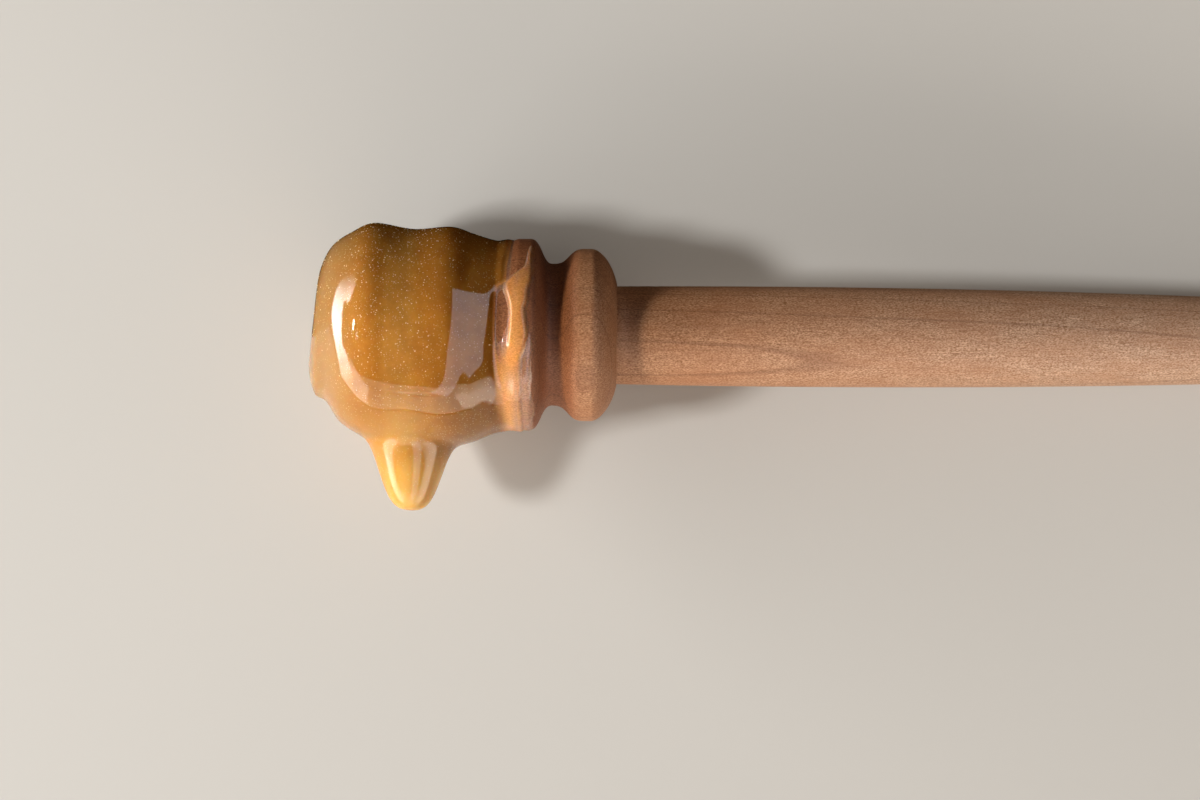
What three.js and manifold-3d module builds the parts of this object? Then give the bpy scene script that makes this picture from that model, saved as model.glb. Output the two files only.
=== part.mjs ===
// A turned wooden honey dipper, its head coated in honey with one drip, lying on its back on a flat surface.
// Millimetres, +Z up. The origin is the spot on the surface where the honey under the second ring rests,
// +X runs along the handle and -Y is the way the drip points.
import * as THREE from "three";
import { ParametricGeometry } from "three/addons/geometries/ParametricGeometry.js";
import { mergeVertices } from "three/addons/utils/BufferGeometryUtils.js";
import Module from "manifold-3d";

// Driving dimensions of the wood. Stations run along the dipper's axis from the flat of its nose.
const DIPPER_LENGTH = 150;
const NOSE_RADIUS = 7.0;
const RING_RADIUS = 11.46;
const RING_COUNT = 3;
const RING_FIRST = 5.0;
const RING_PITCH = 9.1;
const RING_CREST = 1.5;
const RING_FLANK = 2.3;
const RING_SHOULDER = 0.6;
const RING_LEAD = 1.9;
const RING_LEAD_DROP = 0.65;
const GROOVE_RADIUS = 8.5;
const NECK_FLANK = 2.6;
const COLLAR_RADIUS = 10.32;
const COLLAR_START = 26.8;
const COLLAR_CREST_START = 30.2;
const COLLAR_CREST_END = 31.2;
const COLLAR_END = 34.3;
const COLLAR_BACK_ROUND = 1.15;
const COLLAR_BACK_LEAN = 0.43;
const COLLAR_BACK_RADIUS = 8.45;
const HANDLE_RADIUS = 6.0;
const HANDLE_SWELL = 55;
const HANDLE_END_RADIUS = 3.5;

// The honey's outline along its upper side and along the side that sags, as [station, radius], from the tip
// in front of the nose to the last ring. The two have one row for each place.
const HONEY_UPPER = [
  [-2.0, 0], [-1.65, 4.6], [-1.2, 7.8], [0.2, 10.5], [2.6, 12.2], [5.2, 13.2],
  [9.8, 12.5], [14.3, 12.85], [17.0, 12.05], [19.6, 11.3], [22.2, 11.1],
];
const HONEY_SAGGING = [
  [-2.0, 0], [-2.6, 4.2], [-1.9, 7.3], [-0.5, 8.3], [1.4, 10.9], [5.0, 12.8],
  [9.8, 13.3], [14.4, 13.5], [17.0, 13.1], [19.6, 12.05], [22.2, 11.35],
];
const SAG_POWER = 1.5;
const HONEY_END = 22.5;
const HONEY_GAP = 0.3;
const DRIP_STATION = 9.7;
const DRIP_LENGTH = 7.95;
const DRIP_RADIUS = 4.35;
const DRIP_POWER = 4.2;
const DRIP_TIP_ROUND = 2.2;
const DRIP_ONSET = 0.5;
const DIP_STATION = 16.6;
const DIP_WIDTH = 4.2;
const DIP_DEPTH = 0.55;

// How the dipper lies: the axis height over the surface under the second ring, and near the handle's end.
const REST_STATION = RING_FIRST + RING_PITCH;
const REST_DEPTH = 12.27;
const END_STATION = DIPPER_LENGTH - HANDLE_END_RADIUS;
const END_FLAT = 0.1;
const REST_TILT = Math.atan((REST_DEPTH - HANDLE_END_RADIUS + END_FLAT) / (END_STATION - REST_STATION));

// Mesh fineness
const CURVE_STEPS = 4;
const TURN_STEPS = 36;
const CAVITY_TURN_STEPS = 28;
const HONEY_TURN_STEPS = 40;
const HONEY_LENGTH_STEPS = 46;
const DRIP_CROWDING = 1.6;
const MERGE_DISTANCE = 1e-4;

const wasm = await Module();
wasm.setup();

// A closed geometry as a solid, with coincident corners merged and collapsed triangles dropped.
function toSolid(geometry) {
  const bare = geometry.clone().deleteAttribute("normal").deleteAttribute("uv");
  const merged = mergeVertices(bare, MERGE_DISTANCE);
  const corners = merged.index.array;
  const triVerts = [];
  for (let i = 0; i < corners.length; i += 3) {
    const [a, b, c] = corners.subarray(i, i + 3);
    if (a !== b && b !== c && c !== a) triVerts.push(a, b, c);
  }
  return new wasm.Manifold(
    new wasm.Mesh({
      numProp: 3,
      vertProperties: merged.attributes.position.array,
      triVerts: new Uint32Array(triVerts),
    }),
  );
}

function toGeometry(solid) {
  const mesh = solid.getMesh();
  const geometry = new THREE.BufferGeometry();
  geometry.setAttribute("position", new THREE.BufferAttribute(mesh.vertProperties, 3));
  geometry.setIndex(new THREE.BufferAttribute(mesh.triVerts, 1));
  geometry.computeVertexNormals();
  return geometry;
}

// An S-shaped flank between two turned radii, level at both ends. A path's x is a radius and its y a station.
function flankTo(path, radius, station) {
  const middle = (path.currentPoint.y + station) / 2;
  path.bezierCurveTo(path.currentPoint.x, middle, radius, middle, radius, station);
}

// The nose and the rings, grown outwards all over by a given amount. The first ring has the nose's bevel in
// front of it, and each later one a short slope that leads up to its crest.
function traceHead(path, grow) {
  const firstCrest = RING_FIRST - RING_CREST / 2 - grow;
  const crestRadius = RING_RADIUS + grow;
  const grooveRadius = GROOVE_RADIUS + grow;
  path.moveTo(0, -grow);
  path.lineTo(NOSE_RADIUS + grow, -grow);
  path.lineTo(crestRadius - RING_SHOULDER, firstCrest - RING_SHOULDER);
  path.quadraticCurveTo(crestRadius, firstCrest, crestRadius, RING_FIRST);
  for (let ring = 0; ring < RING_COUNT; ring++) {
    const crestEnd = RING_FIRST + ring * RING_PITCH + RING_CREST / 2 + grow;
    const nextCrest = firstCrest + (ring + 1) * RING_PITCH;
    path.lineTo(crestRadius, crestEnd);
    if (ring === RING_COUNT - 1) break;
    const leadStart = nextCrest - RING_LEAD;
    flankTo(path, grooveRadius, crestEnd + RING_FLANK);
    path.lineTo(grooveRadius, leadStart - RING_FLANK);
    flankTo(path, crestRadius - RING_LEAD_DROP, leadStart);
    path.lineTo(crestRadius, nextCrest);
  }
}

// The neck and the collar behind the last ring, down to where the handle starts.
function traceCollar(path) {
  flankTo(path, GROOVE_RADIUS, path.currentPoint.y + NECK_FLANK);
  path.lineTo(GROOVE_RADIUS, COLLAR_START);
  flankTo(path, COLLAR_RADIUS, COLLAR_CREST_START);
  path.lineTo(COLLAR_RADIUS, COLLAR_CREST_END);
  path.bezierCurveTo(
    COLLAR_RADIUS, COLLAR_CREST_END + COLLAR_BACK_ROUND,
    COLLAR_BACK_RADIUS, COLLAR_END - COLLAR_BACK_LEAN,
    HANDLE_RADIUS - handleThinning(COLLAR_END), COLLAR_END,
  );
}

// The handle swells a little past the collar and then thins towards its end, as a parabola.
function handleThinning(station) {
  return (HANDLE_RADIUS - HANDLE_END_RADIUS) * ((station - HANDLE_SWELL) / (END_STATION - HANDLE_SWELL)) ** 2;
}

// A quadratic curve is a parabola, so one curve is the whole handle. A round end closes it.
function traceHandle(path) {
  const middle = (COLLAR_END + END_STATION) / 2;
  const start = handleThinning(COLLAR_END);
  const bend = start * (1 - 2 * (middle - COLLAR_END) / (HANDLE_SWELL - COLLAR_END));
  path.quadraticCurveTo(HANDLE_RADIUS - bend, middle, HANDLE_END_RADIUS, END_STATION);
  path.absellipse(0, END_STATION, HANDLE_END_RADIUS, HANDLE_END_RADIUS, 0, Math.PI / 2, false);
}

// Turns a path of radius and station about the X axis.
function turned(path, steps) {
  const profile = path.getPoints(CURVE_STEPS);
  profile[0].x = 0;
  profile[profile.length - 1].x = 0;
  return toSolid(new THREE.LatheGeometry(profile, steps).rotateZ(-Math.PI / 2));
}

function wood() {
  const path = new THREE.Path();
  traceHead(path, 0);
  traceCollar(path);
  traceHandle(path);
  return turned(path, TURN_STEPS);
}

// The room that the wooden head takes inside the honey, with a small gap all round.
function headRoom() {
  const path = new THREE.Path();
  traceHead(path, HONEY_GAP);
  path.lineTo(0, path.currentPoint.y);
  return turned(path, CAVITY_TURN_STEPS);
}

// How far the drip hangs below the sagging side, at a distance from its middle. Its tip is round.
function dripReach(distance) {
  const rounded = Math.hypot(distance, DRIP_TIP_ROUND) ** DRIP_POWER - DRIP_TIP_ROUND ** DRIP_POWER;
  return DRIP_LENGTH * Math.exp(-rounded / DRIP_RADIUS ** DRIP_POWER);
}

// How far the side that faces up dips over and behind the second ring. The share is 1 in its middle.
function dipDepth(station, share) {
  const fromMiddle = (station - DIP_STATION) / DIP_WIDTH;
  return DIP_DEPTH * Math.exp(-(fromMiddle ** 2)) * Math.max(share, 0) ** 2;
}

function outline(rows) {
  return new THREE.SplineCurve(rows.map(([station, radius]) => new THREE.Vector2(station, radius)));
}

// The honey's outer surface, closed inside the last ring. The turn starts and ends at the top, and its steps
// crowd together round the drip.
function honeyForm() {
  const upper = outline(HONEY_UPPER);
  const sagging = outline(HONEY_SAGGING);
  const place = (turn, along, target) => {
    const side = 1 - 2 * turn;
    const fromDrip = Math.sign(side) * Math.abs(side) ** DRIP_CROWDING * Math.PI;
    const up = -Math.cos(fromDrip);
    const sag = ((1 - up) / 2) ** SAG_POWER;
    const spot = upper.getPoint(along).lerp(sagging.getPoint(along), sag);
    const facing = Math.sin(fromDrip);
    spot.y -= dipDepth(spot.x, facing);
    const across = spot.y * facing;
    const below = THREE.MathUtils.smoothstep(-up, 0, DRIP_ONSET);
    const hang = below * dripReach(Math.hypot(spot.x - DRIP_STATION, across));
    target.set(spot.x, spot.y * up - hang, across);
  };
  const lastRow = (HONEY_LENGTH_STEPS - 1) / HONEY_LENGTH_STEPS;
  const surface = (turn, along, target) => {
    if (along < 1) place(turn, Math.min(along / lastRow, 1), target);
    else target.set(HONEY_END, 0, 0);
  };
  return toSolid(new ParametricGeometry(surface, HONEY_TURN_STEPS, HONEY_LENGTH_STEPS));
}

// What lies under the surface that the dipper rests on, in the dipper's own axes.
function underSurface() {
  const slab = new THREE.BoxGeometry(2 * DIPPER_LENGTH, DIPPER_LENGTH, HANDLE_RADIUS);
  slab.translate(0, 0, -HANDLE_RADIUS / 2);
  slab.rotateY(-REST_TILT);
  slab.translate(REST_STATION, 0, -REST_DEPTH);
  return toSolid(slab);
}

const surfaceBelow = underSurface();
const dipper = new THREE.Mesh(
  toGeometry(wood().subtract(surfaceBelow)),
  new THREE.MeshStandardMaterial({ color: 0xb98763, roughness: 0.6, metalness: 0 }),
);
dipper.name = "dipper";
const honey = new THREE.Mesh(
  toGeometry(honeyForm().subtract(headRoom()).subtract(surfaceBelow)),
  new THREE.MeshStandardMaterial({ color: 0xc98a35, roughness: 0.08, metalness: 0 }),
);
honey.name = "honey";

// The handle leans down from the head to the surface.
const lying = new THREE.Group();
lying.rotation.y = REST_TILT;
for (const piece of [dipper, honey]) {
  piece.position.set(-REST_STATION, 0, REST_DEPTH);
  lying.add(piece);
}
const part = new THREE.Group();
part.add(lying);

export default part;
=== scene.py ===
import math

import bpy
import numpy as np
from mathutils import Euler, Matrix, Vector, noise


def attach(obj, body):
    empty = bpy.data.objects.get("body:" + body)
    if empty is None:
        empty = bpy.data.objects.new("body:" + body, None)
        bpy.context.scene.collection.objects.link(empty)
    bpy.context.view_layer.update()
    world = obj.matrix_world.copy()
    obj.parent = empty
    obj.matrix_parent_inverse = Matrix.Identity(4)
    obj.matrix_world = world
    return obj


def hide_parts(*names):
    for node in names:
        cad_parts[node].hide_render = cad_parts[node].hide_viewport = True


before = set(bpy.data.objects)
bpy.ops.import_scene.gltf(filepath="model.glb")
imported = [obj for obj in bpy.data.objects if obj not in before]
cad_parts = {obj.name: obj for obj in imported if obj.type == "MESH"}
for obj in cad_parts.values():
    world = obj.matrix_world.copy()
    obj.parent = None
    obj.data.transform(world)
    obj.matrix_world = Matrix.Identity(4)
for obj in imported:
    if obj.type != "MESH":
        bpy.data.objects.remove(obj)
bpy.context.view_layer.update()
mm = 0.001
print("frame loaded:", ", ".join(sorted(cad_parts)))

# How the dipper lies. Stations run along its axis from the flat of the nose, in millimetres.
lying = {
    "restStation": 14.1,  # under the second ring
    "restDepth": 12.27,  # height of the axis over the floor there
    "endStation": 146.5,  # where the handle's round end starts
    "endDepth": 3.4,  # height of the axis over the floor there
}
restToEnd = lying["endStation"] - lying["restStation"]
leanDown = math.atan((lying["restDepth"] - lying["endDepth"]) / restToEnd)


def layDown(points):  # rows of station, across and towards the viewer, in mm, become the frame's metres
    along = points[:, 0] - lying["restStation"]
    above = points[:, 2] + lying["restDepth"]
    x = along * math.cos(leanDown) + above * math.sin(leanDown)
    z = above * math.cos(leanDown) - along * math.sin(leanDown)
    return np.column_stack((x, points[:, 1], z)) * mm


def smoothStep(low, high, value):
    share = np.clip((value - low) / (high - low), 0.0, 1.0)
    return share * share * (3.0 - 2.0 * share)


def hump(middle, width, value):
    return np.exp(-((value - middle) / width) ** 2)


def smoothMax(a, b, blend):
    share = np.clip(0.5 + 0.5 * (a - b) / blend, 0.0, 1.0)
    return b + (a - b) * share + blend * share * (1.0 - share)


def colour(hexText):  # sRGB hex to linear
    channels = [int(hexText[i:i + 2], 16) / 255 for i in (1, 3, 5)]
    linear = [c / 12.92 if c <= 0.04045 else ((c + 0.055) / 1.055) ** 2.4 for c in channels]
    return (*linear, 1.0)


def addNode(tree, kind, settings=None, sockets=None):
    node = tree.nodes.new(kind)
    for name, value in (settings or {}).items():
        setattr(node, name, value)
    for name, value in (sockets or {}).items():
        if isinstance(value, bpy.types.NodeSocket):
            tree.links.new(value, node.inputs[name])
        else:
            node.inputs[name].default_value = value
    return node


def newMaterial(name):
    made = bpy.data.materials.new(name)
    made.use_nodes = True
    made.node_tree.nodes.clear()
    return made, made.node_tree


def newObject(name, data):
    made = bpy.data.objects.new(name, data)
    bpy.context.scene.collection.objects.link(made)
    return made


def meshFrom(name, points, faces, edges=()):
    mesh = bpy.data.meshes.new(name)
    mesh.from_pydata(points.tolist(), list(edges), faces)
    mesh.update()
    return mesh


def storeNumbers(mesh, name, values):
    attribute = mesh.attributes.new(name, "FLOAT", "POINT")
    attribute.data.foreach_set("value", np.asarray(values, np.float32))


# Runs a node tree on a carrier, keeps the result as the carrier's plain mesh and drops the modifier.
def runTree(carrier, tree, inputs):
    modifier = carrier.modifiers.new(tree.name, "NODES")
    modifier.node_group = tree
    sockets = [item for item in tree.interface.items_tree if item.in_out == "INPUT"]
    identifiers = {item.name: item.identifier for item in sockets}
    for name, value in inputs.items():
        modifier[identifiers[name]] = value
    depsgraph = bpy.context.evaluated_depsgraph_get()
    made = bpy.data.meshes.new_from_object(carrier.evaluated_get(depsgraph))
    made.name = carrier.name
    carrier.modifiers.clear()
    carrier.data = made


def newTree(name, inputs):
    tree = bpy.data.node_groups.new(name, "GeometryNodeTree")
    tree.interface.new_socket("Geometry", in_out="INPUT", socket_type="NodeSocketGeometry")
    for inputName, kind in inputs.items():
        tree.interface.new_socket(inputName, in_out="INPUT", socket_type=kind)
    tree.interface.new_socket("Geometry", in_out="OUTPUT", socket_type="NodeSocketGeometry")
    return tree, addNode(tree, "NodeGroupInput").outputs


# Both materials read places in the dipper's own millimetres: station, across and towards the viewer.
def dipperPoint(tree):
    place = addNode(tree, "ShaderNodeTexCoord")
    return addNode(tree, "ShaderNodeMapping", {"vector_type": "POINT"}, {
        "Vector": place.outputs["Object"],
        "Location": (lying["restStation"], 0.0, -lying["restDepth"]),
        "Rotation": (0.0, -leanDown, 0.0),
        "Scale": (1.0 / mm,) * 3,
    }).outputs["Vector"]


# The turned wood

turning = {
    "noseRadius": 7.0,
    "ringRadius": 11.46,
    "ringCount": 3,
    "ringFirst": 5.0,
    "ringPitch": 9.1,
    "ringCrest": 1.5,
    "ringFlank": 2.3,
    "ringShoulder": 0.6,
    "ringLead": 1.9,
    "ringLeadDrop": 0.65,
    "grooveRadius": 8.5,
    "neckFlank": 2.6,
    "collarRadius": 10.32,
    "collarStart": 26.8,
    "collarCrestStart": 30.2,
    "collarCrestEnd": 31.2,
    "collarEnd": 34.3,
    "collarBackRound": 1.15,
    "collarBackLean": 0.43,
    "collarBackRadius": 8.45,
    "handleRadius": 6.0,
    "handleSwell": 55.0,
    "handleEndRadius": 3.5,
    "tipRadius": 0.05,  # where the round end is closed
    "straightSteps": 3,
    "curveSteps": 14,
    "handleSteps": 70,
    "sides": 160,
}


def curveTo(line, controlA, controlB, end, steps):  # a Bezier stretch of station and radius
    start, controlA, controlB, end = (np.array(p) for p in (line[-1], controlA, controlB, end))
    for t in np.linspace(0, 1, steps + 1)[1:]:
        u = 1 - t
        place = u ** 3 * start + 3 * u * u * t * controlA
        place = place + 3 * u * t * t * controlB + t ** 3 * end
        line.append(tuple(place))


def runTo(line, station, radius, steps=turning["straightSteps"]):
    curveTo(line, line[-1], (station, radius), (station, radius), steps)


def flankTo(line, station, radius):  # S-shaped, level at both ends
    middle = (line[-1][0] + station) / 2
    curveTo(line, (middle, line[-1][1]), (middle, radius), (station, radius), turning["curveSteps"])


def handleRadius(station):
    t = turning
    share = (station - t["handleSwell"]) / (lying["endStation"] - t["handleSwell"])
    return t["handleRadius"] - (t["handleRadius"] - t["handleEndRadius"]) * share ** 2


def turnedLine():
    t = turning
    crest, groove = t["ringRadius"], t["grooveRadius"]
    firstCrest = t["ringFirst"] - t["ringCrest"] / 2
    line = [(0.0, t["noseRadius"])]
    runTo(line, firstCrest - t["ringShoulder"], crest - t["ringShoulder"], t["curveSteps"])
    curveTo(line, (firstCrest, crest), (firstCrest, crest), (t["ringFirst"], crest), t["curveSteps"])
    for ring in range(t["ringCount"]):
        crestEnd = t["ringFirst"] + ring * t["ringPitch"] + t["ringCrest"] / 2
        runTo(line, crestEnd, crest)
        if ring == t["ringCount"] - 1:
            break
        leadStart = firstCrest + (ring + 1) * t["ringPitch"] - t["ringLead"]
        flankTo(line, crestEnd + t["ringFlank"], groove)
        runTo(line, leadStart - t["ringFlank"], groove)
        flankTo(line, leadStart, crest - t["ringLeadDrop"])
        runTo(line, leadStart + t["ringLead"], crest, t["curveSteps"])
    flankTo(line, line[-1][0] + t["neckFlank"], groove)
    runTo(line, t["collarStart"], groove)
    flankTo(line, t["collarCrestStart"], t["collarRadius"])
    runTo(line, t["collarCrestEnd"], t["collarRadius"])
    backRound = (t["collarCrestEnd"] + t["collarBackRound"], t["collarRadius"])
    backLean = (t["collarEnd"] - t["collarBackLean"], t["collarBackRadius"])
    curveTo(line, backRound, backLean, (t["collarEnd"], handleRadius(t["collarEnd"])), 2 * t["curveSteps"])
    for station in np.linspace(t["collarEnd"], lying["endStation"], t["handleSteps"])[1:]:
        line.append((station, handleRadius(station)))
    roundEnd = math.acos(t["tipRadius"] / t["handleEndRadius"])
    for turn in np.linspace(0, roundEnd, t["curveSteps"])[1:]:
        reach = t["handleEndRadius"] * math.sin(turn)
        line.append((lying["endStation"] + reach, t["handleEndRadius"] * math.cos(turn)))
    return np.array(line)


woodLine = turnedLine()


def woodRadius(station):
    return np.interp(station, woodLine[:, 0], woodLine[:, 1])


# Beech, turned on a lathe, sanded and left raw: pale reddish brown with a dull sheen, finely speckled by
# its pores, with soft cloudy tones and thin growth lines that run at a slight slant to the handle and bend
# round the collar. It is tinted deeper and redder towards the head, and darker still up to the collar's
# near
# flank: honey soak on the rings, painted shade in the neck and on the collar's near flank.
beechLook = {
    "pale": "#dcb89c",
    "dark": "#89613e",
    "warm": "#ad7c59",
    "growthLine": "#6d4630",
    "growthSpacing": 2.45,  # mm between growth lines
    "growthPhase": 0.14,
    "growthSlant": -0.0226,  # rise for each mm of handle
    "growthEdge": (0.88, 0.965),  # shares of a year between which a line darkens
    "pith": (0.0, 50.0, -86.6),  # mm, the middle of the trunk as seen from the dipper's axis
    "wander": 0.5,  # mm that the lines swing
    "wanderSize": (50.0, 6.0, 6.0),
    "wanderDetail": 2.0,
    "lineShare": 0.36,
    "poreSize": (0.26, 0.14, 0.14),  # true pores are about 0.1 mm wide, drawn coarser so that they show
    "poreRange": (0.34, 0.66),
    "poreDetail": 3.0,
    "poreCoarse": 0.6,
    "fibreSize": (3.2, 0.2, 0.2),  # fibres are finer too, drawn coarser so that they show
    "fibreRange": (0.4, 0.68),
    "fibreDetail": 2.0,
    "fibre": "#8a5f45",
    "fibreShare": 0.34,
    "cloudSize": (7.0, 2.4, 2.4),
    "cloudRange": (0.35, 0.7),
    "cloudDetail": 3.0,
    "cloudShare": 0.5,
    "headTone": "#f0d7bb",  # over the wood near the head, gone at the far end of its stretch
    "headStretch": (36.0, 95.0),  # stations
    # honey soak on the rings and painted shade in the neck and on the collar's near flank, full up to the
    # first station of its stretch
    "soakAndShade": "#cfb6a0",
    "soakAndShadeStretch": (28.9, 30.3),
    "roughness": (0.5, 0.66),
    "reliefDepth": 0.025,  # mm
    "reliefShare": 0.6,
    "ior": 1.5,
    "specular": 0.3,  # raw wood is dull
}


def perMillimetre(size):  # a size along each axis becomes what a pattern's place is multiplied by
    return tuple(1.0 / length for length in size)


# The speckle of the pores, which also shows through thin honey: 0 is pale and 1 is dark.
def poreSpeckle(tree, point):
    palest, darkest = beechLook["poreRange"]
    place = addNode(tree, "ShaderNodeVectorMath", {"operation": "MULTIPLY"}, {
        0: point, 1: perMillimetre(beechLook["poreSize"])}).outputs[0]
    grain = addNode(tree, "ShaderNodeTexNoise", None, {
        "Vector": place, "Scale": 1.0,
        "Detail": beechLook["poreDetail"], "Roughness": beechLook["poreCoarse"]}).outputs[0]
    return addNode(tree, "ShaderNodeMapRange", None, {
        "Value": grain, "From Min": palest, "From Max": darkest}).outputs[0]


# How dark a growth line is at a place, from its distance to the pith.
def growthLines(tree, point):
    look = beechLook
    fromPith = addNode(tree, "ShaderNodeVectorMath", {"operation": "SUBTRACT"}, {
        0: point, 1: look["pith"]}).outputs[0]
    crossCut = addNode(tree, "ShaderNodeVectorMath", {"operation": "MULTIPLY"}, {
        0: fromPith, 1: (0.0, 1.0, 1.0)}).outputs[0]
    away = addNode(tree, "ShaderNodeVectorMath", {"operation": "LENGTH"}, {0: crossCut}).outputs["Value"]
    station = addNode(tree, "ShaderNodeSeparateXYZ", None, {0: point}).outputs[0]
    slanted = addNode(tree, "ShaderNodeMath", {"operation": "MULTIPLY_ADD"}, {
        0: station, 1: look["growthSlant"], 2: away}).outputs[0]
    swingPlace = addNode(tree, "ShaderNodeVectorMath", {"operation": "MULTIPLY"}, {
        0: point, 1: perMillimetre(look["wanderSize"])}).outputs[0]
    swing = addNode(tree, "ShaderNodeTexNoise", None, {
        "Vector": swingPlace, "Scale": 1.0, "Detail": look["wanderDetail"]}).outputs[0]
    uneven = addNode(tree, "ShaderNodeMath", {"operation": "MULTIPLY_ADD"}, {
        0: swing, 1: look["wander"], 2: slanted}).outputs[0]
    years = addNode(tree, "ShaderNodeMath", {"operation": "MULTIPLY_ADD"}, {
        0: uneven, 1: 1.0 / look["growthSpacing"], 2: look["growthPhase"]}).outputs[0]
    season = addNode(tree, "ShaderNodeMath", {"operation": "FRACT"}, {0: years}).outputs[0]
    lineStart, lineFull = look["growthEdge"]
    darken = addNode(tree, "ShaderNodeMapRange", {"interpolation_type": "SMOOTHSTEP"}, {
        "Value": season, "From Min": lineStart, "From Max": lineFull}).outputs[0]
    end = addNode(tree, "ShaderNodeMapRange", {"interpolation_type": "SMOOTHSTEP"}, {
        "Value": season, "From Min": 1.0, "From Max": lineFull}).outputs[0]
    line = addNode(tree, "ShaderNodeMath", {"operation": "MULTIPLY"}, {0: darken, 1: end}).outputs[0]
    return addNode(tree, "ShaderNodeMath", {"operation": "MULTIPLY"}, {
        0: line, 1: look["lineShare"]}).outputs[0]


# A tint that lies over a colour at one place along the dipper, or across it, and is gone at another.
def tintAlong(tree, base, place, tint, stretch):
    full, gone = stretch
    share = addNode(tree, "ShaderNodeMapRange", None, {
        "Value": place, "From Min": gone, "From Max": full}).outputs[0]
    return addNode(tree, "ShaderNodeMix", {"data_type": "RGBA", "blend_type": "MULTIPLY"}, {
        0: share, 6: base, 7: colour(tint)}).outputs[2]


def beechTurnedRaw():
    look = beechLook
    made, tree = newMaterial("beechTurnedRaw")
    point = dipperPoint(tree)
    speckle = poreSpeckle(tree, point)
    body = addNode(tree, "ShaderNodeMix", {"data_type": "RGBA"}, {
        0: speckle, 6: colour(look["pale"]), 7: colour(look["dark"])}).outputs[2]
    cloudPlace = addNode(tree, "ShaderNodeVectorMath", {"operation": "MULTIPLY"}, {
        0: point, 1: perMillimetre(look["cloudSize"])}).outputs[0]
    clouds = addNode(tree, "ShaderNodeTexNoise", None, {
        "Vector": cloudPlace, "Scale": 1.0, "Detail": look["cloudDetail"]}).outputs[0]
    thinnest, densest = look["cloudRange"]
    cloudShare = addNode(tree, "ShaderNodeMapRange", None, {
        "Value": clouds, "From Min": thinnest, "From Max": densest,
        "To Max": look["cloudShare"]}).outputs[0]
    clouded = addNode(tree, "ShaderNodeMix", {"data_type": "RGBA"}, {
        0: cloudShare, 6: body, 7: colour(look["warm"])}).outputs[2]
    fibrePlace = addNode(tree, "ShaderNodeVectorMath", {"operation": "MULTIPLY"}, {
        0: point, 1: perMillimetre(look["fibreSize"])}).outputs[0]
    fibres = addNode(tree, "ShaderNodeTexNoise", None, {
        "Vector": fibrePlace, "Scale": 1.0, "Detail": look["fibreDetail"]}).outputs[0]
    palest, darkest = look["fibreRange"]
    fibreShare = addNode(tree, "ShaderNodeMapRange", None, {
        "Value": fibres, "From Min": palest, "From Max": darkest,
        "To Max": look["fibreShare"]}).outputs[0]
    fibred = addNode(tree, "ShaderNodeMix", {"data_type": "RGBA"}, {
        0: fibreShare, 6: clouded, 7: colour(look["fibre"])}).outputs[2]
    lined = addNode(tree, "ShaderNodeMix", {"data_type": "RGBA"}, {
        0: growthLines(tree, point), 6: fibred, 7: colour(look["growthLine"])}).outputs[2]
    station = addNode(tree, "ShaderNodeSeparateXYZ", None, {0: point}).outputs[0]
    toned = tintAlong(tree, lined, station, look["headTone"], look["headStretch"])
    # darker towards the head: honey soak on the rings, painted shade in the neck and on the collar's near
    # flank
    soakAndShade = tintAlong(tree, toned, station, look["soakAndShade"], look["soakAndShadeStretch"])
    smooth, coarse = look["roughness"]
    rough = addNode(tree, "ShaderNodeMapRange", None, {
        "Value": speckle, "To Min": smooth, "To Max": coarse}).outputs[0]
    bump = addNode(tree, "ShaderNodeBump", {"invert": True}, {
        "Strength": look["reliefShare"], "Distance": look["reliefDepth"] * mm,
        "Height": speckle}).outputs[0]
    shader = addNode(tree, "ShaderNodeBsdfPrincipled", None, {
        "Base Color": soakAndShade, "Roughness": rough, "IOR": look["ior"],
        "Specular IOR Level": look["specular"], "Normal": bump})
    addNode(tree, "ShaderNodeOutputMaterial", None, {"Surface": shader.outputs[0]})
    return made


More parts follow.
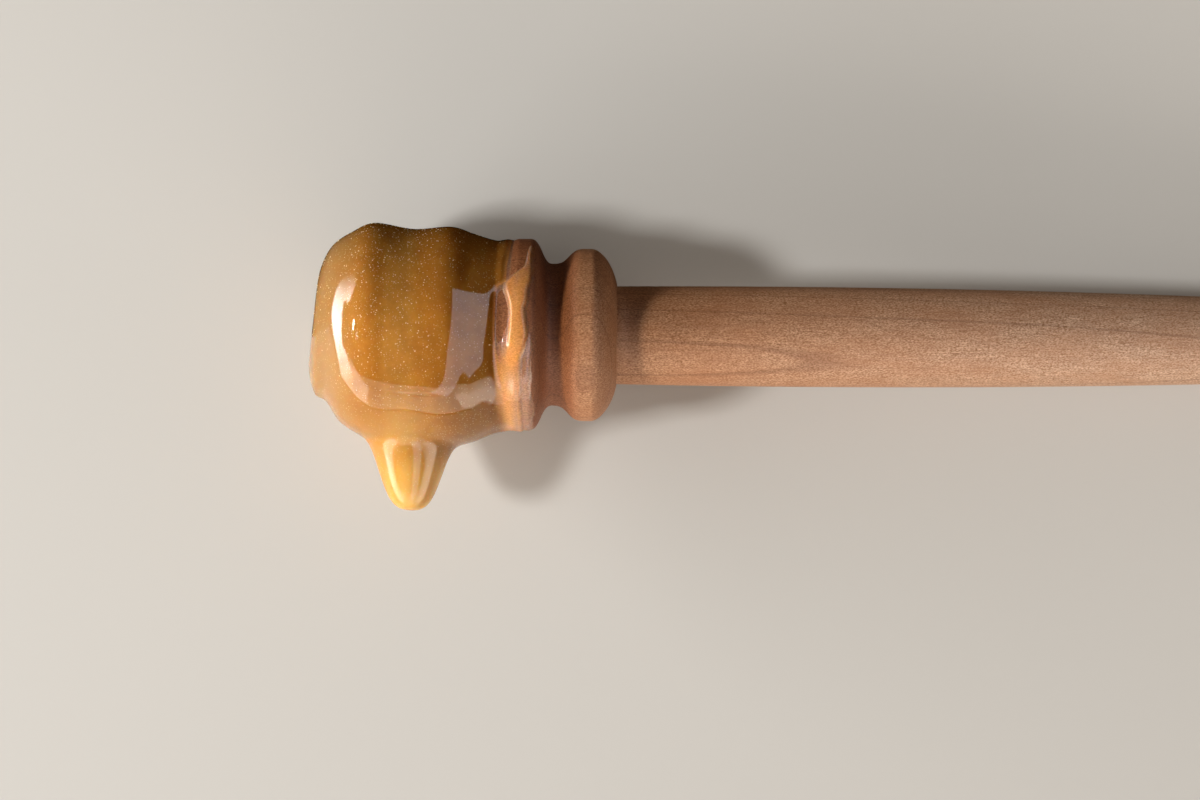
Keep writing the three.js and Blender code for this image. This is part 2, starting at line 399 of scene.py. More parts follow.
def turnedWood(finish):
    spine = layDown(np.column_stack((woodLine[:, 0], np.zeros((len(woodLine), 2)))))
    steps = [(i, i + 1) for i in range(len(spine) - 1)]
    carrier = newObject("turned_wood", meshFrom("turned_wood", spine, [], steps))
    storeNumbers(carrier.data, "turnedRadius", woodLine[:, 1] * mm)
    tree, given = newTree("turnOnLathe", {
        "Sides": "NodeSocketInt", "Floor Height": "NodeSocketFloat", "Finish": "NodeSocketMaterial"})
    spineCurve = addNode(tree, "GeometryNodeMeshToCurve", None, {"Mesh": given["Geometry"]}).outputs[0]
    ring = addNode(tree, "GeometryNodeCurvePrimitiveCircle", None, {
        "Resolution": given["Sides"], "Radius": 1.0}).outputs[0]
    radius = addNode(tree, "GeometryNodeInputNamedAttribute", {"data_type": "FLOAT"}, {
        "Name": "turnedRadius"}).outputs[0]
    swept = addNode(tree, "GeometryNodeCurveToMesh", None, {
        "Curve": spineCurve, "Profile Curve": ring, "Scale": radius, "Fill Caps": True}).outputs[0]
    spot = addNode(tree, "GeometryNodeInputPosition").outputs[0]
    place = addNode(tree, "ShaderNodeSeparateXYZ", None, {0: spot}).outputs
    height = addNode(tree, "ShaderNodeMath", {"operation": "MAXIMUM"}, {
        0: place[2], 1: given["Floor Height"]}).outputs[0]
    onFloor = addNode(tree, "ShaderNodeCombineXYZ", None, {0: place[0], 1: place[1], 2: height}).outputs[0]
    rested = addNode(tree, "GeometryNodeSetPosition", None, {
        "Geometry": swept, "Position": onFloor}).outputs[0]
    smooth = addNode(tree, "GeometryNodeSetShadeSmooth", None, {"Geometry": rested}).outputs[0]
    real = addNode(tree, "GeometryNodeRealizeInstances", None, {"Geometry": smooth}).outputs[0]
    finished = addNode(tree, "GeometryNodeSetMaterial", None, {
        "Geometry": real, "Material": given["Finish"]}).outputs[0]
    addNode(tree, "NodeGroupOutput", None, {"Geometry": finished})
    runTree(carrier, tree, {"Sides": turning["sides"], "Floor Height": 0.0, "Finish": finish})
    return carrier


wood = turnedWood(beechTurnedRaw())
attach(wood, "root")
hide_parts("dipper")
print("turned wood:", len(wood.data.polygons), "faces")


# The honey

honeyPour = {
    # outlines along the upper side and along the side that sags, as station and radius for each place
    "upper": [(-2.0, 0.0), (-1.65, 4.6), (-1.2, 7.8), (0.2, 10.5), (2.6, 12.2), (5.2, 13.2), (9.8, 12.5),
              (14.3, 12.85), (17.0, 12.05), (19.6, 11.3), (22.2, 11.05), (23.7, 10.2), (25.7, 7.6)],
    "sagging": [(-2.0, 0.0), (-2.6, 4.2), (-1.9, 7.3), (-0.5, 8.3), (1.4, 10.9), (5.0, 12.8), (9.8, 13.3),
                (14.4, 13.5), (17.0, 13.1), (19.6, 12.05), (22.2, 11.35), (23.7, 10.8), (25.7, 8.0)],
    "sagPower": 1.5,
    "dripStation": 9.7,
    "dripLength": 7.95,
    "dripRadius": 4.42,
    "dripPower": 4.6,
    "dripTipRound": 1.9,
    "dripOnset": 0.5,
    # where the side that faces up lies lower than the outlines, or higher, as station, width and depth
    "dips": [(16.6, 4.2, 0.55), (9.3, 2.2, -0.13)],
    # the hollow in front of the last ring, where the wood is bare, as rise, station and depth
    "hollow": [(-0.75, 20.3, 0.0), (-0.5, 20.3, 0.18), (-0.3, 20.2, 0.3), (-0.15, 20.1, 0.44),
               (0.0, 20.4, 0.72), (0.2, 20.6, 0.8), (0.4, 20.7, 0.6), (0.52, 20.8, 0.2), (0.62, 20.8, 0.0)],
    "hollowWidth": 1.0,
    "waveDepth": 0.11,  # mm, as all lengths here
    "waveLength": 8.0,
    "waveSeed": 3.0,
    "waveOnset": (2.0, 10.0),  # stations
    "runDepth": 0.12,  # the runs of honey on the side that sags
    "runLength": 4.6,
    "runSeed": 5.0,
    "runRise": (-0.1, -0.7),  # rises between which they grow
    "filmStart": 12.0,  # station past which the wood under the honey shapes it
    "filmBlend": 0.42,
    "intoWood": 0.14,  # the honey's inner wall lies this far inside the wood
    "noseDepth": 2.0,  # of honey in front of the nose
    "noseGlow": (4.8, -0.8),  # stations between which it brightens
    "dripGlow": (0.0, 0.55),  # shares of the drip's length between which it brightens
    # the glow that runs from the head into the drip: its most, the station it crowds round, its width, and
    # the rises between which it starts
    "rootGlow": 0.6,
    "rootStation": 7.0,
    "rootWidth": 3.6,
    "rootRise": (-0.45, -0.9),
    "turnSteps": 288,
    "alongSteps": 270,
    "innerSteps": 40,
    "dripCrowding": 1.3,  # above 1 the steps round it lie closer at the drip
}
# The thin honey that runs up to the last ring and over it. Each row is a rise, 1 at the upper side and -1
# at the side that sags, with the stations where the film starts and ends there, and its depth.
honeyFilm = {
    "overRing": [
        (-1.0, 20.2, 23.4, 0.24), (-0.74, 20.3, 23.2, 0.24), (-0.5, 20.8, 23.2, 0.24),
        (-0.34, 20.9, 23.1, 0.30), (-0.24, 21.0, 23.2, 0.36), (-0.16, 21.2, 23.6, 0.40),
        (0.0, 21.45, 23.9, 0.38), (0.08, 21.55, 23.7, 0.38),
        (0.25, 21.6, 23.4, 0.38), (0.33, 21.4, 23.8, 0.36), (0.45, 21.0, 23.9, 0.34),
        (0.54, 21.1, 24.4, 0.30), (0.62, 22.2, 24.5, 0.26), (0.70, 23.4, 24.6, 0.24),
        (0.90, 23.85, 24.6, 0.22), (0.98, 24.1, 24.5, -0.1), (1.0, 24.2, 24.4, -0.2),
    ],
    "skirt": [
        (-1.0, 21.0, 25.2, 0.11), (-0.74, 21.0, 25.1, 0.11), (-0.63, 21.0, 24.7, 0.11),
        (-0.5, 21.0, 24.9, 0.11), (-0.34, 21.0, 24.7, 0.11), (-0.16, 21.0, 24.9, 0.11),
        (0.0, 21.0, 24.4, 0.11), (0.08, 21.0, 23.7, -0.1),
    ],
    "upToRing": [
        (0.48, 17.0, 20.0, -0.1), (0.56, 17.0, 21.0, 0.46), (0.7, 17.0, 21.0, 0.46), (1.0, 17.0, 21.6, 0.4),
    ],
    "cloudier": 1.6,  # the honey up to the ring looks deeper than it is, by this many times its film
    "settle": 0.5,  # mm over which it evens out the wood's edges
    "settleSteps": 5,
    "settleMost": 0.06,  # mm above the wood
    # how gently it starts, as rise and mm
    "startEdge": [(-0.5, 1.3), (-0.34, 1.1), (-0.28, 0.85), (-0.16, 0.8), (-0.08, 0.4)],
    "endEdge": 0.6,
    "dry": 0.12,  # where there is no film it lies this far inside the wood
    "uneven": 0.05,
    "unevenLength": 1.6,
    "unevenSeed": 7.0,
}


def smoothLine(rows, share):  # a curve through all rows, evenly from row to row
    rows = np.array(rows)
    last = len(rows) - 1
    place = share * last
    index = np.minimum(place.astype(int), last)
    part = (place - index)[:, None]
    before, start = rows[np.maximum(index - 1, 0)], rows[index]
    end, after = rows[np.minimum(index + 1, last)], rows[np.minimum(index + 2, last)]
    leave, arrive = (end - before) / 2, (after - start) / 2
    cubic = 2 * start - 2 * end + leave + arrive
    square = 3 * end - 3 * start - 2 * leave - arrive
    return cubic * part ** 3 + square * part ** 2 + leave * part + start


def waves(station, rise, front, radius, length, seed):  # smooth noise over the surface, about -1 to 1
    points = np.stack((station, radius * rise, radius * front), axis=-1).reshape(-1, 3) / length
    shift = Vector((seed, 2.0 * seed, 3.0 * seed))  # another part of the noise for each seed
    return np.array([noise.noise(Vector(p) + shift) for p in points]).reshape(station.shape)


def filmDepth(rows, station, rise, ripple):
    film = honeyFilm
    rises, starts, ends, depths = np.array(rows).T
    start, end = np.interp(rise, rises, starts), np.interp(rise, rises, ends)
    startEdge = np.interp(rise, *np.array(film["startEdge"]).T)
    began = smoothStep(start - startEdge, start + startEdge, station)
    lasts = smoothStep(end + film["endEdge"], end - film["endEdge"], station)
    full = np.interp(rise, rises, depths) + film["dry"]
    return full * began * lasts + film["uneven"] * ripple * began * lasts - film["dry"]


# The outer surface, as rows along the dipper by steps round it: places in mm, depth over the wood and the
# glow of the nose and of the drip.
def honeySurface():
    pour = honeyPour
    side = 1 - 2 * np.arange(pour["turnSteps"]) / pour["turnSteps"]
    fromDrip = np.sign(side) * np.abs(side) ** pour["dripCrowding"] * math.pi
    share = np.arange(1, pour["alongSteps"] + 1) / pour["alongSteps"]
    upper, sagging = smoothLine(pour["upper"], share), smoothLine(pour["sagging"], share)
    shape = (pour["alongSteps"], pour["turnSteps"])
    rise, front = np.broadcast_to(-np.cos(fromDrip), shape), np.broadcast_to(np.sin(fromDrip), shape)
    sag = ((1 - rise) / 2) ** pour["sagPower"]
    station = upper[:, :1] + (sagging[:, :1] - upper[:, :1]) * sag
    radius = upper[:, 1:] + (sagging[:, 1:] - upper[:, 1:]) * sag
    swell = waves(station, rise, front, radius, pour["waveLength"], pour["waveSeed"])
    radius = radius + pour["waveDepth"] * swell * smoothStep(*pour["waveOnset"], station)
    runs = waves(station, rise, front, radius, pour["runLength"], pour["runSeed"])
    runs = runs * smoothStep(*pour["runRise"], rise) * smoothStep(*pour["waveOnset"], station)
    radius = radius + pour["runDepth"] * runs
    for middle, width, dipDepth in pour["dips"]:
        radius = radius - dipDepth * hump(middle, width, station) * np.maximum(front, 0.0) ** 2
    rises, middles, depths = np.array(pour["hollow"]).T
    hollow = hump(np.interp(rise, rises, middles), pour["hollowWidth"], station)
    radius = radius - np.interp(rise, rises, depths) * hollow * (front > 0)
    under = woodRadius(station)
    ripple = waves(station, rise, front, radius, honeyFilm["unevenLength"], honeyFilm["unevenSeed"])
    overRing, skirt, upToRing = (filmDepth(honeyFilm[layer], station, rise, ripple)
                                 for layer in ("overRing", "skirt", "upToRing"))
    film = np.max((overRing, skirt, upToRing), axis=0)
    shifts = np.linspace(-honeyFilm["settle"], honeyFilm["settle"], honeyFilm["settleSteps"])
    settled = np.mean([woodRadius(station + shift) for shift in shifts], axis=0)
    settled = np.minimum(settled, under + honeyFilm["settleMost"])
    coat = smoothMax(radius, settled + film, pour["filmBlend"])
    radius = np.where(station > pour["filmStart"], coat, radius)
    away = np.hypot(station - pour["dripStation"], radius * front)
    power, tipRound = pour["dripPower"], pour["dripTipRound"]
    rounded = np.hypot(away, tipRound) ** power - tipRound ** power
    hang = smoothStep(0.0, pour["dripOnset"], -rise) * np.exp(-rounded / pour["dripRadius"] ** power)
    across = radius * rise - pour["dripLength"] * hang
    places = np.stack((station, across, radius * front), axis=-1)
    depth = np.where(station > 0.0, np.hypot(across, radius * front) - under, pour["noseDepth"])
    depth = depth + honeyFilm["cloudier"] * np.maximum(upToRing, 0.0)
    root = hump(pour["rootStation"], pour["rootWidth"], station) * smoothStep(*pour["rootRise"], rise)
    dripGlow = np.maximum(smoothStep(*pour["dripGlow"], hang), pour["rootGlow"] * root)
    return places, depth, smoothStep(*pour["noseGlow"], station), dripGlow


# The wall against the wood, from the last ring back to the nose, as one ring of points for each station.
def honeyLining(outer):
    pour = honeyPour
    stations = np.linspace(outer[-1, :, 0].mean(), 0.0, pour["innerSteps"])
    radii = woodRadius(stations) - pour["intoWood"]
    radii[0] = np.hypot(outer[-1, :, 1], outer[-1, :, 2]).min() - pour["intoWood"]
    stations[-1] = pour["intoWood"]
    turn = np.arctan2(outer[0, :, 1], outer[0, :, 2])
    rings = [np.column_stack((np.full(len(turn), s), r * np.sin(turn), r * np.cos(turn)))
             for s, r in zip(stations, radii)]
    return np.array(rings)


def honeyMesh():
    pour = honeyPour
    outer, depth, noseGlow, dripGlow = honeySurface()
    rings = np.vstack((outer, honeyLining(outer)))
    rows, turns = rings.shape[:2]
    tip, heart = (pour["upper"][0][0], 0.0, 0.0), (pour["intoWood"], 0.0, 0.0)
    points = layDown(np.vstack(([tip], rings.reshape(-1, 3), [heart])))
    points[:, 2] = np.maximum(points[:, 2], 0.0)
    last = len(points) - 1
    faces = []
    for j in range(turns):
        k = (j + 1) % turns
        faces.append((0, 1 + k, 1 + j))
        faces.append((last, last - turns + j, last - turns + k))
        for row in range(rows - 1):
            a, b = 1 + row * turns + j, 1 + row * turns + k
            faces.append((a, b, b + turns, a + turns))
    mesh = meshFrom("honey_coat", points, faces)
    hidden = np.zeros(pour["innerSteps"] * turns + 1)
    storeNumbers(mesh, "honeyDepth", np.concatenate(([pour["noseDepth"]], depth.ravel(), hidden)))
    storeNumbers(mesh, "noseGlow", np.concatenate(([1.0], noseGlow.ravel(), hidden)))
    storeNumbers(mesh, "dripGlow", np.concatenate(([0.0], dripGlow.ravel(), hidden)))
    mesh.polygons.foreach_set("use_smooth", [True] * len(mesh.polygons))
    return mesh


# Cloudy raw honey, poured: amber, half clear, with a wet gloss. Light soaks in, so the nose and the drip
# glow, thin parts show the wood's speckle, and fine crystals show as pale specks. The drip's paler gold
# is also a painted glow, and painted shade lies over the upper side, the side that sags, the slope behind
# the second ring and the drip's side towards the nose.
honeyLook = {
    "amber": "#e2a54e",
    "deep": "#cd9346",
    "overWood": "#ede2cc",  # where little honey lies over the wood
    "overWoodDepth": (1.6, 3.8),  # mm
    "cloudRange": (0.35, 0.65),
    "noseGold": "#b38855",
    # painted glow: the drip is painted a paler gold than the honey round it
    "dripGold": "#ecba68",
    "dripLeftShade": "#efdfc6",  # painted shade over the gold on the drip's side towards the nose, where the lights fall hardest
    "dripLeftShadeStretch": (6.5, 9.2),  # stations
    "wetPale": "#f6b671",
    "wetDark": "#d08e4f",
    "dampPale": "#cf9d7d",  # wood under the thinnest honey
    "dampDark": "#9d745b",
    "dampDepth": (0.1, 0.34),  # mm between which wood turns to wet
    "upperShade": "#d4ccc6",  # painted shade over the upper side, which faces away from the lights
    "upperShadeStretch": (13.0, 3.0),  # mm across
    "lowerShade": "#e0dbd4",  # painted shade over the side that sags
    "lowerShadeStretch": (-8.0, -1.0),  # mm across
    "slopeShade": "#d2ccc2",  # painted shade over the slope behind the second ring, which faces away from the light
    "slopeShadeStretch": (17.0, 12.5),  # stations
    "speck": "#f2d49c",
    "absorb": "#f0a838",
    "absorbDensity": 260.0,  # per metre
    "cloudSize": 2.2,  # mm
    "cloudDetail": 5.0,
    "cloudCoarse": 0.7,
    "speckSpacing": 0.3,  # mm
    "speckRadius": 0.065,  # true crystals are finer, drawn coarser so that they show
    "speckEdge": (0.6, 1.4),  # shares of the radius between which a speck fades
    "speckShare": 0.7,
    "thinDepth": 0.3,  # mm, thinner honey shows the wood
    "thickDepth": 1.1,
    "clear": 0.13,
    "soakThin": 0.03,  # mm that light travels in
    "soakThick": 0.9,
    "soakDepth": (0.3, 3.5),
    "soakColours": (1.0, 0.6, 0.28),  # red goes furthest in
    "soakForward": 0.3,
    "roughness": 0.04,
    "ior": 1.49,
}


def honeyCloudyPoured():
    look = honeyLook
    made, tree = newMaterial("honeyCloudyPoured")
    point = dipperPoint(tree)
    depth = addNode(tree, "ShaderNodeAttribute", {"attribute_name": "honeyDepth"}).outputs["Fac"]
    noseGlow = addNode(tree, "ShaderNodeAttribute", {"attribute_name": "noseGlow"}).outputs["Fac"]
    dripGlow = addNode(tree, "ShaderNodeAttribute", {"attribute_name": "dripGlow"}).outputs["Fac"]
    clouds = addNode(tree, "ShaderNodeTexNoise", None, {
        "Vector": point, "Scale": 1 / look["cloudSize"],
        "Detail": look["cloudDetail"], "Roughness": look["cloudCoarse"]}).outputs[0]
    thinnest, densest = look["cloudRange"]
    cloudShare = addNode(tree, "ShaderNodeMapRange", None, {
        "Value": clouds, "From Min": thinnest, "From Max": densest}).outputs[0]
    amber = addNode(tree, "ShaderNodeMix", {"data_type": "RGBA"}, {
        0: cloudShare, 6: colour(look["amber"]), 7: colour(look["deep"])}).outputs[2]
    station, across = addNode(tree, "ShaderNodeSeparateXYZ", None, {0: point}).outputs[:2]
    deepened = tintAlong(tree, amber, depth, look["overWood"], look["overWoodDepth"])
    # painted shade over the slope behind the second ring
    sloped = tintAlong(tree, deepened, station, look["slopeShade"], look["slopeShadeStretch"])
    # painted shade over the upper side
    shaded = tintAlong(tree, sloped, across, look["upperShade"], look["upperShadeStretch"])
    # painted shade over the side that sags
    lowered = tintAlong(tree, shaded, across, look["lowerShade"], look["lowerShadeStretch"])
    nose = addNode(tree, "ShaderNodeMix", {"data_type": "RGBA"}, {
        0: noseGlow, 6: lowered, 7: colour(look["noseGold"])}).outputs[2]
    # the drip's painted glow, with painted shade on its side towards the nose
    gold = tintAlong(tree, colour(look["dripGold"]), station, look["dripLeftShade"], look["dripLeftShadeStretch"])
    lit = addNode(tree, "ShaderNodeMix", {"data_type": "RGBA"}, {0: dripGlow, 6: nose, 7: gold}).outputs[2]
    pores = poreSpeckle(tree, point)
    damp, wetAll = (addNode(tree, "ShaderNodeMix", {"data_type": "RGBA"}, {
        0: pores, 6: colour(look[stage + "Pale"]), 7: colour(look[stage + "Dark"])}).outputs[2]
        for stage in ("damp", "wet"))
    dampest, wettest = look["dampDepth"]
    wetness = addNode(tree, "ShaderNodeMapRange", {"interpolation_type": "SMOOTHSTEP"}, {
        "Value": depth, "From Min": dampest, "From Max": wettest}).outputs[0]
    wet = addNode(tree, "ShaderNodeMix", {"data_type": "RGBA"}, {0: wetness, 6: damp, 7: wetAll}).outputs[2]
    thick = addNode(tree, "ShaderNodeMapRange", {"interpolation_type": "SMOOTHSTEP"}, {
        "Value": depth, "From Min": look["thinDepth"], "From Max": look["thickDepth"]}).outputs[0]
    # the same painted shade over the thin film on the upper side
    dimmed = tintAlong(tree, wet, across, look["upperShade"], look["upperShadeStretch"])
    body = addNode(tree, "ShaderNodeMix", {"data_type": "RGBA"}, {0: thick, 6: dimmed, 7: lit}).outputs[2]
    cells = addNode(tree, "ShaderNodeTexVoronoi", None, {
        "Vector": point, "Scale": 1 / look["speckSpacing"]})
    inner, outer = (share * look["speckRadius"] / look["speckSpacing"] for share in look["speckEdge"])
    dots = addNode(tree, "ShaderNodeMapRange", {"interpolation_type": "SMOOTHSTEP"}, {
        "Value": cells.outputs["Distance"], "From Min": outer, "From Max": inner,
        "To Max": look["speckShare"]}).outputs[0]
    chance = addNode(tree, "ShaderNodeSeparateColor", None, {0: cells.outputs["Color"]}).outputs[0]
    strength = addNode(tree, "ShaderNodeMath", {"operation": "MULTIPLY"}, {0: dots, 1: chance}).outputs[0]
    specks = addNode(tree, "ShaderNodeMath", {"operation": "MULTIPLY"}, {0: strength, 1: thick}).outputs[0]
    specked = addNode(tree, "ShaderNodeMix", {"data_type": "RGBA"}, {
        0: specks, 6: body, 7: colour(look["speck"])}).outputs[2]
    shallow, deep = look["soakDepth"]
    soak = addNode(tree, "ShaderNodeMapRange", None, {
        "Value": depth, "From Min": shallow, "From Max": deep,
        "To Min": look["soakThin"] * mm, "To Max": look["soakThick"] * mm}).outputs[0]
    between = addNode(tree, "ShaderNodeMath", {"operation": "SUBTRACT"}, {0: 1.0, 1: specks}).outputs[0]
    soakBetween = addNode(tree, "ShaderNodeMath", {"operation": "MULTIPLY"}, {
        0: soak, 1: between}).outputs[0]
    shader = addNode(tree, "ShaderNodeBsdfPrincipled", {"subsurface_method": "RANDOM_WALK"}, {
        "Base Color": specked, "Roughness": look["roughness"], "IOR": look["ior"],
        "Transmission Weight": look["clear"], "Subsurface Weight": 1.0,
        "Subsurface Radius": look["soakColours"], "Subsurface Scale": soakBetween,
        "Subsurface Anisotropy": look["soakForward"]})
    absorb = addNode(tree, "ShaderNodeVolumeAbsorption", None, {
        "Color": colour(look["absorb"]), "Density": look["absorbDensity"]})
    addNode(tree, "ShaderNodeOutputMaterial", None, {
        "Surface": shader.outputs[0], "Volume": absorb.outputs[0]})
    return made


honey = newObject("honey_coat", honeyMesh())
honey.data.materials.append(honeyCloudyPoured())
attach(honey, "root")
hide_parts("honey")
print("honey:", len(honey.data.polygons), "faces")


# Air bubbles caught just under the honey's skin, most of them between the first ring and the second.
honeyBubbles = {
    "perSquareMetre": 8000000.0,
    "radius": (0.022, 0.1),  # mm
    "fewLarge": 3.0,  # the higher, the fewer large ones
    "sink": 0.03,  # mm below the skin
    "station": 8.6,  # where they crowd
    "spread": 5.2,
    "elsewhere": 0.1,
    "fewerBelow": (-9.0, 3.0),  # mm across, they thin out towards the side that sags
    "leastDepth": (0.5, 1.0),  # mm of honey between which they start
    "clearOfFloor": (1.0, 2.5),  # mm
    "subdivisions": 1,
    "seed": 11,
    "air": "#f3d7a4",
    "roughness": 0.4,
}


# Air in honey: round, pale and bright, because each bubble's wall throws the light back.
def airInHoney():
    made, tree = newMaterial("airInHoney")
    shader = addNode(tree, "ShaderNodeBsdfPrincipled", None, {
        "Base Color": colour(honeyBubbles["air"]), "Roughness": honeyBubbles["roughness"],
        "IOR": honeyLook["ior"]})
    addNode(tree, "ShaderNodeOutputMaterial", None, {"Surface": shader.outputs[0]})
    return made


def caughtBubbles(skin, finish):
    caught = honeyBubbles
    places = np.array([v.co for v in skin.vertices]) / mm
    station = places[:, 0] + lying["restStation"]
    depth = np.array([value.value for value in skin.attributes["honeyDepth"].data])
    crowd = (1 - caught["elsewhere"]) * hump(caught["station"], caught["spread"], station)
    crowd = (caught["elsewhere"] + crowd) * smoothStep(*caught["leastDepth"], depth)
    crowd = crowd * smoothStep(*caught["clearOfFloor"], places[:, 2])
    crowd = crowd * smoothStep(*caught["fewerBelow"], places[:, 1])
    carrier = newObject("honey_bubbles", skin.copy())
    storeNumbers(carrier.data, "bubbleShare", crowd)
    tree, given = newTree("catchBubbles", {
        "Bubbles": "NodeSocketFloat", "Smallest": "NodeSocketFloat", "Largest": "NodeSocketFloat",
        "Few Large": "NodeSocketFloat", "Sink": "NodeSocketFloat", "Seed": "NodeSocketInt",
        "Finish": "NodeSocketMaterial"})
    share = addNode(tree, "GeometryNodeInputNamedAttribute", {"data_type": "FLOAT"}, {
        "Name": "bubbleShare"}).outputs[0]
    density = addNode(tree, "ShaderNodeMath", {"operation": "MULTIPLY"}, {
        0: share, 1: given["Bubbles"]}).outputs[0]
    spots = addNode(tree, "GeometryNodeDistributePointsOnFaces", {"distribute_method": "RANDOM"}, {
        "Mesh": given["Geometry"], "Density": density, "Seed": given["Seed"]}).outputs
    inwards = addNode(tree, "ShaderNodeMath", {"operation": "MULTIPLY"}, {
        0: given["Sink"], 1: -1.0}).outputs[0]
    offset = addNode(tree, "ShaderNodeVectorMath", {"operation": "SCALE"}, {
        0: spots["Normal"], "Scale": inwards}).outputs[0]
    sunk = addNode(tree, "GeometryNodeSetPosition", None, {
        "Geometry": spots["Points"], "Offset": offset}).outputs[0]
    bubble = addNode(tree, "GeometryNodeMeshIcoSphere", None, {
        "Radius": 1.0, "Subdivisions": caught["subdivisions"]}).outputs[0]
    smooth = addNode(tree, "GeometryNodeSetShadeSmooth", None, {"Geometry": bubble}).outputs[0]
    drawn = addNode(tree, "FunctionNodeRandomValue", {"data_type": "FLOAT"}, {
        "Seed": given["Seed"]}).outputs[1]
    growth = addNode(tree, "ShaderNodeMath", {"operation": "POWER"}, {
        0: drawn, 1: given["Few Large"]}).outputs[0]
    size = addNode(tree, "ShaderNodeMapRange", None, {
        "Value": growth, "To Min": given["Smallest"], "To Max": given["Largest"]}).outputs[0]
    placed = addNode(tree, "GeometryNodeInstanceOnPoints", None, {
        "Points": sunk, "Instance": smooth, "Scale": size}).outputs[0]
    real = addNode(tree, "GeometryNodeRealizeInstances", None, {"Geometry": placed}).outputs[0]
    finished = addNode(tree, "GeometryNodeSetMaterial", None, {
        "Geometry": real, "Material": given["Finish"]}).outputs[0]
    addNode(tree, "NodeGroupOutput", None, {"Geometry": finished})
    smallest, largest = caught["radius"]
    runTree(carrier, tree, {
        "Bubbles": caught["perSquareMetre"], "Smallest": smallest * mm, "Largest": largest * mm,
        "Few Large": caught["fewLarge"], "Sink": caught["sink"] * mm, "Seed": caught["seed"],
        "Finish": finish})
    return carrier


bubbles = caughtBubbles(honey.data, airInHoney())
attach(bubbles, "root")
print("bubbles:", len(bubbles.data.polygons), "faces")


# Floor, light and camera

studio = {
    "floorSize": 5.0,
    "floorDrop": 0.00002,  # below the dipper, so that the two don't touch
    "floor": "#c8c5bf",
    "floorRoughness": 0.9,
    "floorSpecular": 0.2,
    "world": "#e4cdb0",
    "worldStrength": 0.15,
    "headCentre": (0.0, 0.0, 0.012),
    # each box: the way it lies from the head, its distance and size in metres, the radiance it shows,
    # whether it only lights the dipper or only shows as a reflection, its roll in degrees, how far it
    # slides along its length in metres, and its fades: the shares of its length or height between which
    # its light rises from nothing to full
    "boxes": {
        "leftKey": {"azimuth": 188.0, "elevation": 43.5, "distance": 0.80, "size": (0.13, 0.09),
                    "radiance": 124.0, "shows": False},
        "leftFill": {"azimuth": 187.0, "elevation": 17.0, "distance": 1.65, "size": (2.55, 0.33),
                     "radiance": 15.0, "shows": False},
        "lowFill": {"azimuth": 272.0, "elevation": 18.0, "distance": 0.70, "size": (1.30, 0.25),
                    "radiance": 3.4, "shows": False, "colour": "#fff6ee"},
        "rightFill": {"azimuth": 352.0, "elevation": 16.0, "distance": 0.60, "size": (0.40, 0.20),
                      "radiance": 1.3, "shows": False, "colour": "#fff2e6"},
        "leftStrip": {"azimuth": 178.0, "elevation": 12.0, "distance": 0.55, "size": (1.00, 0.19),
                      "radiance": 22.0, "lights": False,
                      "fades": [("up", 0.0, 0.25), ("along", 0.0, 0.5), ("along", 1.0, 0.44)]},
        "leftSpark": {"azimuth": 174.5, "elevation": 35.0, "distance": 0.80, "size": (0.13, 0.045),
                      "radiance": 40.0, "lights": False},
        "rightWindow": {"azimuth": 350.0, "elevation": 55.5, "distance": 0.62, "size": (1.90, 0.26),
                        "radiance": 2.45, "lights": False, "colour": "#eaeefc",
                        "roll": -4.0, "slide": -0.15},
        "rightLow": {"azimuth": 318.0, "elevation": 16.0, "distance": 0.70, "size": (0.70, 0.42),
                     "radiance": 2.9, "lights": False, "colour": "#ffeadb",
                     "fades": [("up", 1.0, 0.55)]},
        "leftLow": {"azimuth": 226.0, "elevation": 14.0, "distance": 0.70, "size": (0.50, 0.30),
                    "radiance": 4.1, "lights": False, "colour": "#fff0e0"},
        "lowPanel": {"azimuth": 272.0, "elevation": 32.0, "distance": 0.70, "size": (2.60, 0.15),
                     "radiance": 2.0, "lights": False, "colour": "#fff0dc"},
        "lowTable": {"azimuth": 272.0, "elevation": 13.6, "distance": 0.70, "size": (2.60, 0.29),
                     "radiance": 2.4, "lights": False, "colour": "#fff0dc"},
    },
}


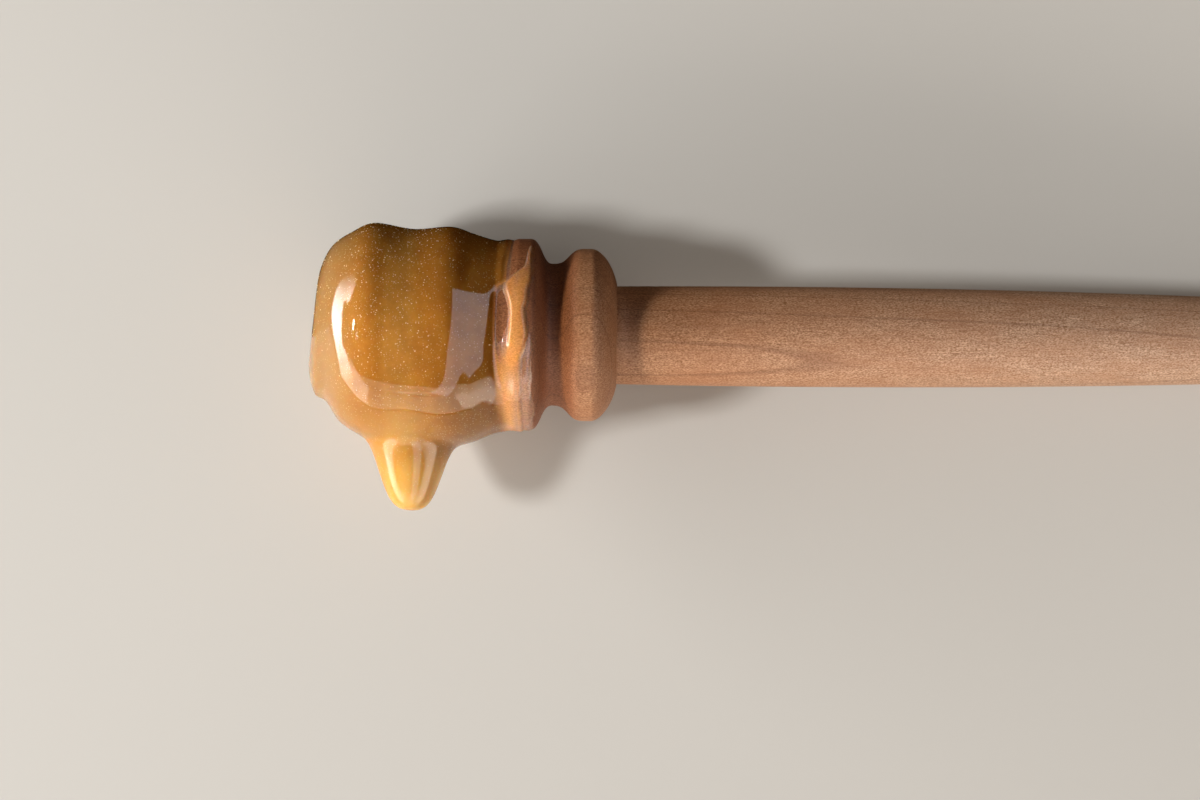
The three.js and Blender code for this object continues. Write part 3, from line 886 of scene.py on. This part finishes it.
def softbox(name, box):
    azimuth, elevation = math.radians(box["azimuth"]), math.radians(box["elevation"])
    flat = math.cos(elevation)
    away = Vector((flat * math.cos(azimuth), flat * math.sin(azimuth), math.sin(elevation)))
    lamp = bpy.data.lights.new(name, "AREA")
    lamp.shape = "RECTANGLE"
    lamp.size, lamp.size_y = box["size"]
    lamp.energy = box["radiance"] * math.pi * lamp.size * lamp.size_y
    lamp.color = colour(box.get("colour", "#ffffff"))[:3]
    if "fades" in box:
        lamp.use_nodes = True
        lamp.node_tree.nodes.clear()
        spot = addNode(lamp.node_tree, "ShaderNodeNewGeometry").outputs["Parametric"]
        place = addNode(lamp.node_tree, "ShaderNodeSeparateXYZ", None, {0: spot}).outputs
        strength = 1.0
        for way, dark, full in box["fades"]:
            rising = addNode(lamp.node_tree, "ShaderNodeMapRange", {"interpolation_type": "SMOOTHSTEP"}, {
                "Value": place[("along", "up").index(way)], "From Min": dark, "From Max": full}).outputs[0]
            strength = addNode(lamp.node_tree, "ShaderNodeMath", {"operation": "MULTIPLY"}, {
                0: rising, 1: strength}).outputs[0]
        light = addNode(lamp.node_tree, "ShaderNodeEmission", None, {"Strength": strength}).outputs[0]
        addNode(lamp.node_tree, "ShaderNodeOutputLight", None, {"Surface": light})
    made = newObject(name, lamp)
    roll = Euler((0.0, 0.0, math.radians(box.get("roll", 0.0)))).to_quaternion()
    turn = away.to_track_quat("Z", "Y") @ roll
    made.rotation_euler = turn.to_euler()
    slide = turn @ Vector((box.get("slide", 0.0), 0.0, 0.0))
    made.location = Vector(studio["headCentre"]) + away * box["distance"] + slide
    made.visible_camera = False
    made.visible_diffuse = box.get("lights", True)
    made.visible_glossy = box.get("shows", True)


# One plain floor in two halves that meet under the dipper. Only the near one is mirrored in the honey and
# throws light back on it, so the upper edge of the honey stays as deep as the rest.
def paleFloor():
    half = studio["floorSize"] / 2
    finish, tree = newMaterial("paperMattPale")
    shader = addNode(tree, "ShaderNodeBsdfPrincipled", None, {
        "Base Color": colour(studio["floor"]), "Roughness": studio["floorRoughness"],
        "Specular IOR Level": studio["floorSpecular"]})
    addNode(tree, "ShaderNodeOutputMaterial", None, {"Surface": shader.outputs[0]})
    for name, near, far in (("floorNear", -half, 0.0), ("floorFar", 0.0, half)):
        corners = np.array([(-half, near, 0), (half, near, 0), (half, far, 0), (-half, far, 0)])
        made = newObject(name, meshFrom(name, corners, [(0, 1, 2, 3)]))
        made.data.materials.append(finish)
        made.location.z = -studio["floorDrop"]
        made.visible_glossy = name == "floorNear"
        made.visible_diffuse = name == "floorNear"


def softWorld():
    world = bpy.data.worlds.new("softWorld")
    world.use_nodes = True
    world.node_tree.nodes.clear()
    light = addNode(world.node_tree, "ShaderNodeBackground", None, {
        "Color": colour(studio["world"]), "Strength": studio["worldStrength"]})
    addNode(world.node_tree, "ShaderNodeOutputWorld", None, {"Surface": light.outputs[0]})
    bpy.context.scene.world = world
    world.cycles_visibility.glossy = False  # the honey mirrors only the boxes and the near floor


paleFloor()
softWorld()
for boxName, box in studio["boxes"].items():
    softbox(boxName, box)

# The camera looks square on to the dipper's axis, from above.
view = {
    "distance": 500.0,  # mm from the axis
    "lens": 125.0,
    "sensor": 36.0,
    "pixel": 0.12,  # mm at the axis
    "noseAt": (331.0, 332.76),  # where the nose's flat meets the axis, in the image of 1200 by 800
    "middle": (600.0, 400.0),
    "roll": 0.509,  # degrees, the axis drops to the right
    "clip": (0.01, 20.0),  # metres
}


def photoCamera():
    roll = math.radians(view["roll"])
    right = Vector((math.cos(roll), math.sin(roll), 0.0))
    up = Vector((-math.sin(roll), math.cos(roll), 0.0))
    across = (view["middle"][0] - view["noseAt"][0]) * view["pixel"]
    down = (view["middle"][1] - view["noseAt"][1]) * view["pixel"]
    aim = right * across - up * down
    eye = layDown(np.array([aim + Vector((0.0, 0.0, view["distance"]))]))[0]
    data = bpy.data.cameras.new("camera")
    data.lens, data.sensor_width = view["lens"], view["sensor"]
    data.clip_start, data.clip_end = view["clip"]
    made = newObject("camera", data)
    level = Matrix((right, up, Vector((0.0, 0.0, 1.0)))).transposed()
    turned = Euler((0.0, leanDown, 0.0)).to_matrix() @ level
    made.matrix_world = Matrix.Translation(Vector(eye)) @ turned.to_4x4()
    bpy.context.scene.camera = made


photoCamera()
bpy.context.scene.view_settings.view_transform = "Standard"
print("stage set")
